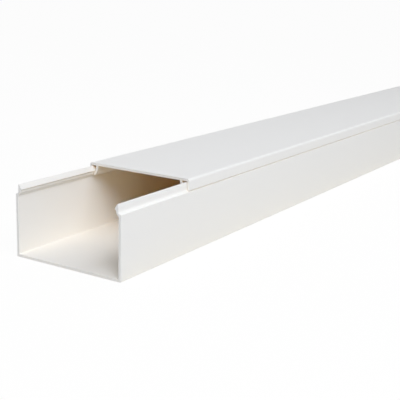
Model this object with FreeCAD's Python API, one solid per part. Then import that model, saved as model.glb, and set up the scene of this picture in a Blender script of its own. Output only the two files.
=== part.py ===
import FreeCAD, Part
import math
import os

# Two-piece cable trunking: a base channel that fixes to a wall by its back, and a lid that clips over it.
# X runs along the length, Y across and Z up from the back. The origin is the middle of the back. All in mm.
# The corners of both sections are given by their inset from the outer side face and their height over the back.

# Overall sizes
width = 100.0
height = 60.0
base_length = 2000.0
lid_length = 2000.0
lid_setback = 87.0  # how far the lid is slid back from the base's front end

# Thicknesses
wall_thickness = 2.0
floor_thickness = 2.0
lid_thickness = 2.0
flange_thickness = 1.6
leg_thickness = 1.75  # at the barb's height
leg_root_thickness = 2.1
neck_thickness = 1.85

# Fits between the lid and the base
flange_inset = 0.5  # the lid's side faces stand this far inside the base's
side_clearance = 0.4  # flange to lip
top_clearance = 0.6  # lip to the lid's underside
shoulder_gap = 0.65  # the groove that shows under the flange
snap_clearance = 0.4  # leg to barb, and hook to the barb's underside
hook_bite = 0.8  # how far the leg's hook reaches under the barb

# Lip along each top edge of the base
flange_depth = 9.5  # from the lid's top down to the flange's lower edge
lip_lean = 0.3
lip_lean_height = 2.0
lip_crest = 0.4
barb_rise = 3.75  # from the shoulder up to the barb's point
barb_overhang = 1.3
barb_undercut = 1.0
neck_foot_rise = 1.15
ramp_drop = 2.9  # from the neck's foot down to the wall's inner face

# Leg under each side of the lid
leg_lean = 0.75  # from the barb up to the bend
leg_bend_drop = 2.0  # from the lid's underside down to the bend
leg_root_lean = 0.3  # from the bend up to the root
hook_nose = 0.6
hook_to_foot = 2.6
foot_flare = 0.2  # from the hook down to the foot, outwards
foot_width = 1.3

# Roundings
back_radius = 0.6
inside_radius = 0.7
edge_radius = 0.25
lip_bend_radius = 3.0
lip_crest_radius = 0.25
barb_radius = 0.2
neck_radius = 1.5
ramp_radius = 1.5
lid_radius = 2.0
flange_radius = 1.3
leg_bend_radius = 5.0
leg_root_radius = 0.4
foot_radius = 0.6

tiny = 1e-6  # lengths under this count as none

# Heights over the back
lid_underside = height - lid_thickness
flange_bottom = height - flange_depth
shoulder = flange_bottom - shoulder_gap
lip_top = lid_underside - top_clearance
barb = shoulder + barb_rise
neck_top = barb - barb_undercut
neck_foot = shoulder + neck_foot_rise

# Insets from the outer side face
flange_inner = flange_inset + flange_thickness
lip_inset = flange_inner + side_clearance
neck_inset = lip_inset + neck_thickness
barb_inset = neck_inset + barb_overhang
leg_inset = barb_inset + snap_clearance
hook_inset = barb_inset - hook_bite
bend_inset = leg_inset + leg_lean
root_inset = bend_inset + leg_root_lean


def base_corners():
    """Outer corner at the back, round the lip and down to the inner floor corner, as (inset, height, radius)."""
    cove_radius = lip_inset - edge_radius
    return [
        (0.0, 0.0, back_radius),
        (0.0, shoulder, edge_radius),
        (lip_inset, shoulder, cove_radius),
        (lip_inset, lip_top - lip_lean_height, lip_bend_radius),
        (lip_inset + lip_lean, lip_top, lip_crest_radius),
        (lip_inset + lip_lean + lip_crest, lip_top, lip_crest_radius),
        (barb_inset, barb, barb_radius),
        (neck_inset, neck_top, barb_radius),
        (neck_inset, neck_foot, neck_radius),
        (wall_thickness, neck_foot - ramp_drop, ramp_radius),
        (wall_thickness, floor_thickness, inside_radius),
    ]


def lid_corners():
    """Inner root of the leg, round its hook and the flange and up to the top corner, as (inset, height, radius)."""
    undercut_slope = barb_undercut / barb_overhang
    undercut_drop = snap_clearance * math.hypot(1.0, undercut_slope)
    hook_top = barb + undercut_slope * (leg_inset - barb_inset) - undercut_drop
    hook_point = barb - undercut_slope * hook_bite - undercut_drop
    foot = hook_point - hook_to_foot
    bend = lid_underside - leg_bend_drop
    foot_inset = hook_inset - foot_flare
    inner_bend_inset = bend_inset + (leg_thickness + leg_root_thickness) / 2
    return [
        (root_inset + leg_root_thickness, lid_underside, leg_root_radius),
        (inner_bend_inset, bend, leg_bend_radius),
        (leg_inset + leg_thickness, hook_top, leg_bend_radius),
        (foot_inset + foot_width, foot, foot_radius),
        (foot_inset, foot, foot_radius),
        (hook_inset, hook_point - hook_nose, edge_radius),
        (hook_inset, hook_point, edge_radius),
        (leg_inset, hook_top, edge_radius),
        (bend_inset, bend, leg_bend_radius),
        (root_inset, lid_underside, leg_root_radius),
        (flange_inner, lid_underside, leg_root_radius),
        (flange_inner, flange_bottom, flange_radius),
        (flange_inset, flange_bottom, edge_radius),
        (flange_inset, height, lid_radius),
    ]


def both_sides(half):
    """The corners of a whole section as (across, height, radius), from those of its +Y half."""
    right = [(width / 2 - inset, up, radius) for inset, up, radius in half]
    left = [(-across, up, radius) for across, up, radius in reversed(right)]
    return right + left


def rounded_wire(corners):
    """A closed wire in the YZ plane: straight runs between the corners, with a tangent arc at each corner.

    An arc reaches some way back along each of its two runs. Where a run is too short for the arcs at its
    ends, both shrink to fit it.
    """
    count = len(corners)
    following = [(i + 1) % count for i in range(count)]
    points = [FreeCAD.Vector(0.0, across, up) for across, up, _ in corners]
    runs = [points[following[i]] - points[i] for i in range(count)]
    half_turns = [runs[i - 1].getAngle(runs[i]) / 2 for i in range(count)]
    reaches = [corners[i][2] * math.tan(half_turns[i]) for i in range(count)]
    wanted = [max(reaches[i] + reaches[following[i]], tiny) for i in range(count)]
    shares = [min(1.0, runs[i].Length / wanted[i]) for i in range(count)]
    reaches = [reaches[i] * min(shares[i - 1], shares[i]) for i in range(count)]

    edges = []
    for i in range(count):
        along_in = FreeCAD.Vector(runs[i - 1]).normalize()
        along_out = FreeCAD.Vector(runs[i]).normalize()
        start = points[i] - along_in * reaches[i]
        end = points[i] + along_out * reaches[i]
        if reaches[i] > tiny:
            radius = reaches[i] / math.tan(half_turns[i])
            to_centre = (along_out - along_in).normalize()
            middle = points[i] + to_centre * (radius / math.cos(half_turns[i]) - radius)
            edges.append(Part.Arc(start, middle, end).toShape())
        run_end = points[following[i]] - along_out * reaches[following[i]]
        if (run_end - end).Length > tiny:
            edges.append(Part.LineSegment(end, run_end).toShape())
    return Part.Wire(edges)


def extruded(half, length, start):
    """The solid of a section, given by the corners of its +Y half, from x = start along its length."""
    section = Part.Face(rounded_wire(both_sides(half)))
    solid = section.extrude(FreeCAD.Vector(length, 0.0, 0.0))
    solid.translate(FreeCAD.Vector(start, 0.0, 0.0))
    return solid


os.makedirs("parts", exist_ok=True)
front = -base_length / 2
pieces = {
    "base_channel": extruded(base_corners(), base_length, front),
    "lid": extruded(lid_corners(), lid_length, front + lid_setback),
}
for name, solid in pieces.items():
    solid.exportStep("parts/" + name + ".step")
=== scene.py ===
"""Two-piece cable trunking in white PVC: an open base channel with the lid slid part of the way back."""

import math

import bpy
from mathutils import Matrix, Vector


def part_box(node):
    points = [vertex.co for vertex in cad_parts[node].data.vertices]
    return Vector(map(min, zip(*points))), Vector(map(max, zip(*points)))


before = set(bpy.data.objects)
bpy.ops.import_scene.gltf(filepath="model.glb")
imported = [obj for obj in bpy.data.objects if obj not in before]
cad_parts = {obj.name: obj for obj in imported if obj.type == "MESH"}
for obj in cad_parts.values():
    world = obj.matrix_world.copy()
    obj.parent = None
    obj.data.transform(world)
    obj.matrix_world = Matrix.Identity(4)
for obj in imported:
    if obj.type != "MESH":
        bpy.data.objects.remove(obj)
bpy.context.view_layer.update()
scene = bpy.context.scene

# Camera, found from the photograph's edges: metres, degrees, and millimetres for the lens and the sensor
CAMERA_FROM_FRONT_END = Vector((-0.466214, -0.408799, 0.212487))
CAMERA_HEADING = 32.2345
CAMERA_DOWN = 14.3615
CAMERA_ROLL = 1.64612
CAMERA_LENS = 78.4331
CAMERA_SENSOR = 36.0
CAMERA_NEAREST = 0.01
CAMERA_FARTHEST = 50.0

# Colours of the plastic: its long faces, its sawn ends, and a painted brown shade, which is the tint given to
# light that has bounced often
PVC_COLOUR = (0.88, 0.886, 0.892, 1.0)
PVC_DULL = (0.868, 0.874, 0.88, 1.0)
PVC_SAWN = (0.9, 0.9, 0.9, 1.0)
PVC_SAWN_DULL = (0.85, 0.85, 0.85, 1.0)
# Painted shade: the brown that bounced light takes on, which darkens and browns the channel's recesses
PAINTED_SHADE_BROWN = (0.86, 0.7, 0.3, 1.0)
PLAIN_BOUNCES = 1.5  # light that has bounced more often than this is passed on brown, as painted shade
MOST_BOUNCES = 24

# Finish of the plastic: features per metre along X, Y and Z, then how they show
BANDS = (0.7, 40.0, 40.0)
DIE_LINES = (1.5, 330.0, 330.0)
DIE_LINE_DETAIL = 3.0
PEEL = (450.0, 450.0, 450.0)
SAW_MARKS = (300.0, 1400.0, 90.0)
SAW_MARK_TURN = 14.0
SAW_MARK_DETAIL = 4.0
END_FACING = 0.9  # a face is an end where its normal's X is over this, either way
DIE_LINE_SHARE_OF_COLOUR = 0.5
PEEL_SHARE_OF_RELIEF = 0.35
RELIEF_STRENGTH = 0.25
RELIEF_HEIGHT = 0.00003
ROUGHNESS_LOW = 0.6
ROUGHNESS_HIGH = 0.7
ROUGHNESS_SAWN = 0.78
PVC_IOR = 1.53

# Surroundings
WHITE = (1.0, 1.0, 1.0, 1.0)
AMBIENT = 0.11
FLOOR_SIZE = 30.0
FLOOR_GAP = 0.0003  # under the object, so that the two don't share a plane
FLOOR_COLOUR = (0.75, 0.75, 0.75, 1.0)
FLOOR_WHITE = 1.02
FLOOR_WHITE_SHARE = 0.93

# Soft light from far away, even along the whole length wherever the lid stands
# Each has a name, heading, rise and strength
DISTANT_LIGHTS = [
    ("key", 225.0, 45.0, 1.15),
    ("side", 270.0, 45.0, 0.1),
    ("left", 90.0, 8.0, 0.6),
    ("end", 0.0, 8.0, 0.6),
]
DISTANT_LIGHT_SPREAD = 31.0
DISTANT_LIGHT_PLACE = 5.0  # metres from the origin, without effect on the light

# Soft lamps that make the front end a little brighter, as in the photograph
# Each has a name, heading and power
NEAR_LAMPS = [
    ("near_key", 225.0, 6.4),
    ("near_side", 270.0, 6.3),
    ("near_fill", 135.0, 2.0),
]
NEAR_LAMP_AIM = Vector((-0.85, 0.0, 0.03))
NEAR_LAMP_RISE = 45.0
NEAR_LAMP_DISTANCE = 1.6
NEAR_LAMP_SIZE = 0.9


def towards(heading, rise):
    """The unit vector that points heading degrees from +X towards +Y, and rise degrees up."""
    turned = math.radians(heading)
    risen = math.radians(rise)
    level = math.cos(risen)
    return Vector((level * math.cos(turned), level * math.sin(turned), math.sin(risen)))


def add_camera():
    """The photograph's view: over the base's open front end, looking along the raceway."""
    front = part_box("base_channel")[0].x
    heading = math.radians(CAMERA_HEADING)
    roll = math.radians(CAMERA_ROLL)
    forward = towards(CAMERA_HEADING, -CAMERA_DOWN)
    level_right = Vector((math.sin(heading), -math.cos(heading), 0.0))
    level_up = level_right.cross(forward)
    right = level_right * math.cos(roll) + level_up * math.sin(roll)
    up = level_up * math.cos(roll) - level_right * math.sin(roll)
    turn = Matrix((right, up, -forward)).transposed()
    place = Vector((front, 0.0, 0.0)) + CAMERA_FROM_FRONT_END
    data = bpy.data.cameras.new("camera")
    data.sensor_width = CAMERA_SENSOR
    data.lens = CAMERA_LENS
    data.clip_start = CAMERA_NEAREST
    data.clip_end = CAMERA_FARTHEST
    camera = bpy.data.objects.new("camera", data)
    camera.matrix_world = Matrix.Translation(place) @ turn.to_4x4()
    scene.collection.objects.link(camera)
    scene.camera = camera


def fill(tree, socket, value):
    """Give a socket its value, which is a plain value or the output of another node."""
    if isinstance(value, bpy.types.NodeSocket):
        tree.links.new(value, socket)
    else:
        socket.default_value = value


def add_math(tree, operation, *values):
    """The result of a math operation on the values."""
    node = tree.nodes.new("ShaderNodeMath")
    node.operation = operation
    for socket, value in zip(node.inputs, values):
        fill(tree, socket, value)
    return node.outputs[0]


def add_mix(tree, kind, factor, low, high):
    """A number (kind FLOAT) or colour (kind RGBA) from low to high as the factor goes from 0 to 1."""
    mix = tree.nodes.new("ShaderNodeMix")
    mix.data_type = kind
    fill(tree, mix.inputs["Factor"], factor)
    fill(tree, mix.inputs["A"], low)
    fill(tree, mix.inputs["B"], high)
    return mix.outputs["Result"]


def add_white_share(tree, share):
    """The share of plain white for the camera, reflections and see-through surfaces; other rays get none."""
    path = tree.nodes.new("ShaderNodeLightPath")
    seen = path.outputs["Is Camera Ray"]
    for ray in ("Is Glossy Ray", "Is Transmission Ray"):
        seen = add_math(tree, "MAXIMUM", seen, path.outputs[ray])
    return add_math(tree, "MULTIPLY", seen, share)


def add_world():
    """A plain soft light from all round, which the camera and reflections see as white."""
    world = bpy.data.worlds.new("studio")
    world.use_nodes = True
    tree = world.node_tree
    tree.nodes.clear()
    output = tree.nodes.new("ShaderNodeOutputWorld")
    mix = tree.nodes.new("ShaderNodeMixShader")
    fill(tree, mix.inputs["Fac"], add_white_share(tree, 1.0))
    for slot, strength in ((1, AMBIENT), (2, 1.0)):
        background = tree.nodes.new("ShaderNodeBackground")
        background.inputs["Color"].default_value = WHITE
        background.inputs["Strength"].default_value = strength
        tree.links.new(background.outputs[0], mix.inputs[slot])
    tree.links.new(mix.outputs[0], output.inputs["Surface"])
    scene.world = world


def add_floor():
    """A pale floor, white to the camera apart from a faint share of the object's shadow."""
    mesh = bpy.data.meshes.new("floor")
    half = FLOOR_SIZE / 2
    corners = [(-half, -half), (half, -half), (half, half), (-half, half)]
    mesh.from_pydata([(x, y, -FLOOR_GAP) for x, y in corners], [], [(0, 1, 2, 3)])
    floor = bpy.data.objects.new("floor", mesh)
    scene.collection.objects.link(floor)
    material = bpy.data.materials.new("floor")
    material.use_nodes = True
    tree = material.node_tree
    tree.nodes.clear()
    output = tree.nodes.new("ShaderNodeOutputMaterial")
    mix = tree.nodes.new("ShaderNodeMixShader")
    pale = tree.nodes.new("ShaderNodeBsdfDiffuse")
    pale.inputs["Color"].default_value = FLOOR_COLOUR
    white = tree.nodes.new("ShaderNodeEmission")
    white.inputs["Strength"].default_value = FLOOR_WHITE
    fill(tree, mix.inputs["Fac"], add_white_share(tree, FLOOR_WHITE_SHARE))
    tree.links.new(pale.outputs[0], mix.inputs[1])
    tree.links.new(white.outputs[0], mix.inputs[2])
    tree.links.new(mix.outputs[0], output.inputs["Surface"])
    mesh.materials.append(material)


def add_lamp(data, way, place):
    """A lamp object at a place, turned so that it shines back along the way to it."""
    lamp = bpy.data.objects.new(data.name, data)
    lamp.location = place
    lamp.rotation_euler = (-way).to_track_quat("-Z", "Y").to_euler()
    lamp.visible_camera = False
    scene.collection.objects.link(lamp)


def add_lamps():
    """The distant lights and the soft lamps near the front end."""
    for name, heading, rise, strength in DISTANT_LIGHTS:
        data = bpy.data.lights.new(name, "SUN")
        data.angle = math.radians(DISTANT_LIGHT_SPREAD)
        data.energy = strength
        way = towards(heading, rise)
        add_lamp(data, way, way * DISTANT_LIGHT_PLACE)
    for name, heading, power in NEAR_LAMPS:
        data = bpy.data.lights.new(name, "AREA")
        data.size = NEAR_LAMP_SIZE
        data.energy = power
        way = towards(heading, NEAR_LAMP_RISE)
        add_lamp(data, way, NEAR_LAMP_AIM + way * NEAR_LAMP_DISTANCE)


def add_noise(tree, coords, per_metre, turn=0.0, detail=2.0):
    """Noise from 0 to 1 with about per_metre features along X, Y and Z, turned by turn degrees about X."""
    mapping = tree.nodes.new("ShaderNodeMapping")
    mapping.inputs["Rotation"].default_value = (math.radians(turn), 0.0, 0.0)
    mapping.inputs["Scale"].default_value = per_metre
    noise = tree.nodes.new("ShaderNodeTexNoise")
    noise.inputs["Scale"].default_value = 1.0
    noise.inputs["Detail"].default_value = detail
    tree.links.new(coords, mapping.inputs["Vector"])
    tree.links.new(mapping.outputs["Vector"], noise.inputs["Vector"])
    return noise.outputs["Fac"]


def pvc_material():
    """White rigid PVC, extruded along X and sawn across it.

    The long faces have faint die lines and a slight orange peel, and the ends have saw marks and are duller.
    From the second bounce on, the light that it passes on is tinted brown. This is painted shade, so that the
    deep end of the channel goes brown, as in the photograph.
    """
    material = bpy.data.materials.new("extruded_pvc")
    material.use_nodes = True
    tree = material.node_tree
    shader = tree.nodes["Principled BSDF"]
    place = tree.nodes.new("ShaderNodeTexCoord")
    coords = place.outputs["Object"]
    bands = add_noise(tree, coords, BANDS)
    die_lines = add_noise(tree, coords, DIE_LINES, detail=DIE_LINE_DETAIL)
    peel = add_noise(tree, coords, PEEL)
    saw_marks = add_noise(tree, coords, SAW_MARKS, turn=SAW_MARK_TURN, detail=SAW_MARK_DETAIL)

    facing = tree.nodes.new("ShaderNodeSeparateXYZ")
    tree.links.new(place.outputs["Normal"], facing.inputs[0])
    along = add_math(tree, "ABSOLUTE", facing.outputs["X"])
    on_end = add_math(tree, "GREATER_THAN", along, END_FACING)

    streaks = add_mix(tree, "FLOAT", DIE_LINE_SHARE_OF_COLOUR, bands, die_lines)
    long_face = add_mix(tree, "RGBA", streaks, PVC_DULL, PVC_COLOUR)
    end_face = add_mix(tree, "RGBA", saw_marks, PVC_SAWN_DULL, PVC_SAWN)
    seen = add_mix(tree, "RGBA", on_end, long_face, end_face)
    path = tree.nodes.new("ShaderNodeLightPath")
    # Painted shade: light that has bounced more than once takes the brown tint, which browns the channel's
    # deep end
    painted_shade_rays = add_math(tree, "GREATER_THAN", path.outputs["Diffuse Depth"], PLAIN_BOUNCES)
    fill(tree, shader.inputs["Base Color"], add_mix(tree, "RGBA", painted_shade_rays, seen, PAINTED_SHADE_BROWN))

    roughness = add_mix(tree, "FLOAT", die_lines, ROUGHNESS_LOW, ROUGHNESS_HIGH)
    fill(tree, shader.inputs["Roughness"], add_mix(tree, "FLOAT", on_end, roughness, ROUGHNESS_SAWN))
    relief = add_mix(tree, "FLOAT", PEEL_SHARE_OF_RELIEF, die_lines, peel)
    bump = tree.nodes.new("ShaderNodeBump")
    bump.inputs["Strength"].default_value = RELIEF_STRENGTH
    bump.inputs["Distance"].default_value = RELIEF_HEIGHT
    fill(tree, bump.inputs["Height"], add_mix(tree, "FLOAT", on_end, relief, saw_marks))
    tree.links.new(bump.outputs["Normal"], shader.inputs["Normal"])
    shader.inputs["IOR"].default_value = PVC_IOR
    return material


scene.view_settings.view_transform = "Standard"
scene.cycles.max_bounces = MOST_BOUNCES
scene.cycles.diffuse_bounces = MOST_BOUNCES
add_camera()
add_world()
add_floor()
add_lamps()
pvc = pvc_material()
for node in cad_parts.values():
    node.data.materials.clear()
    node.data.materials.append(pvc)
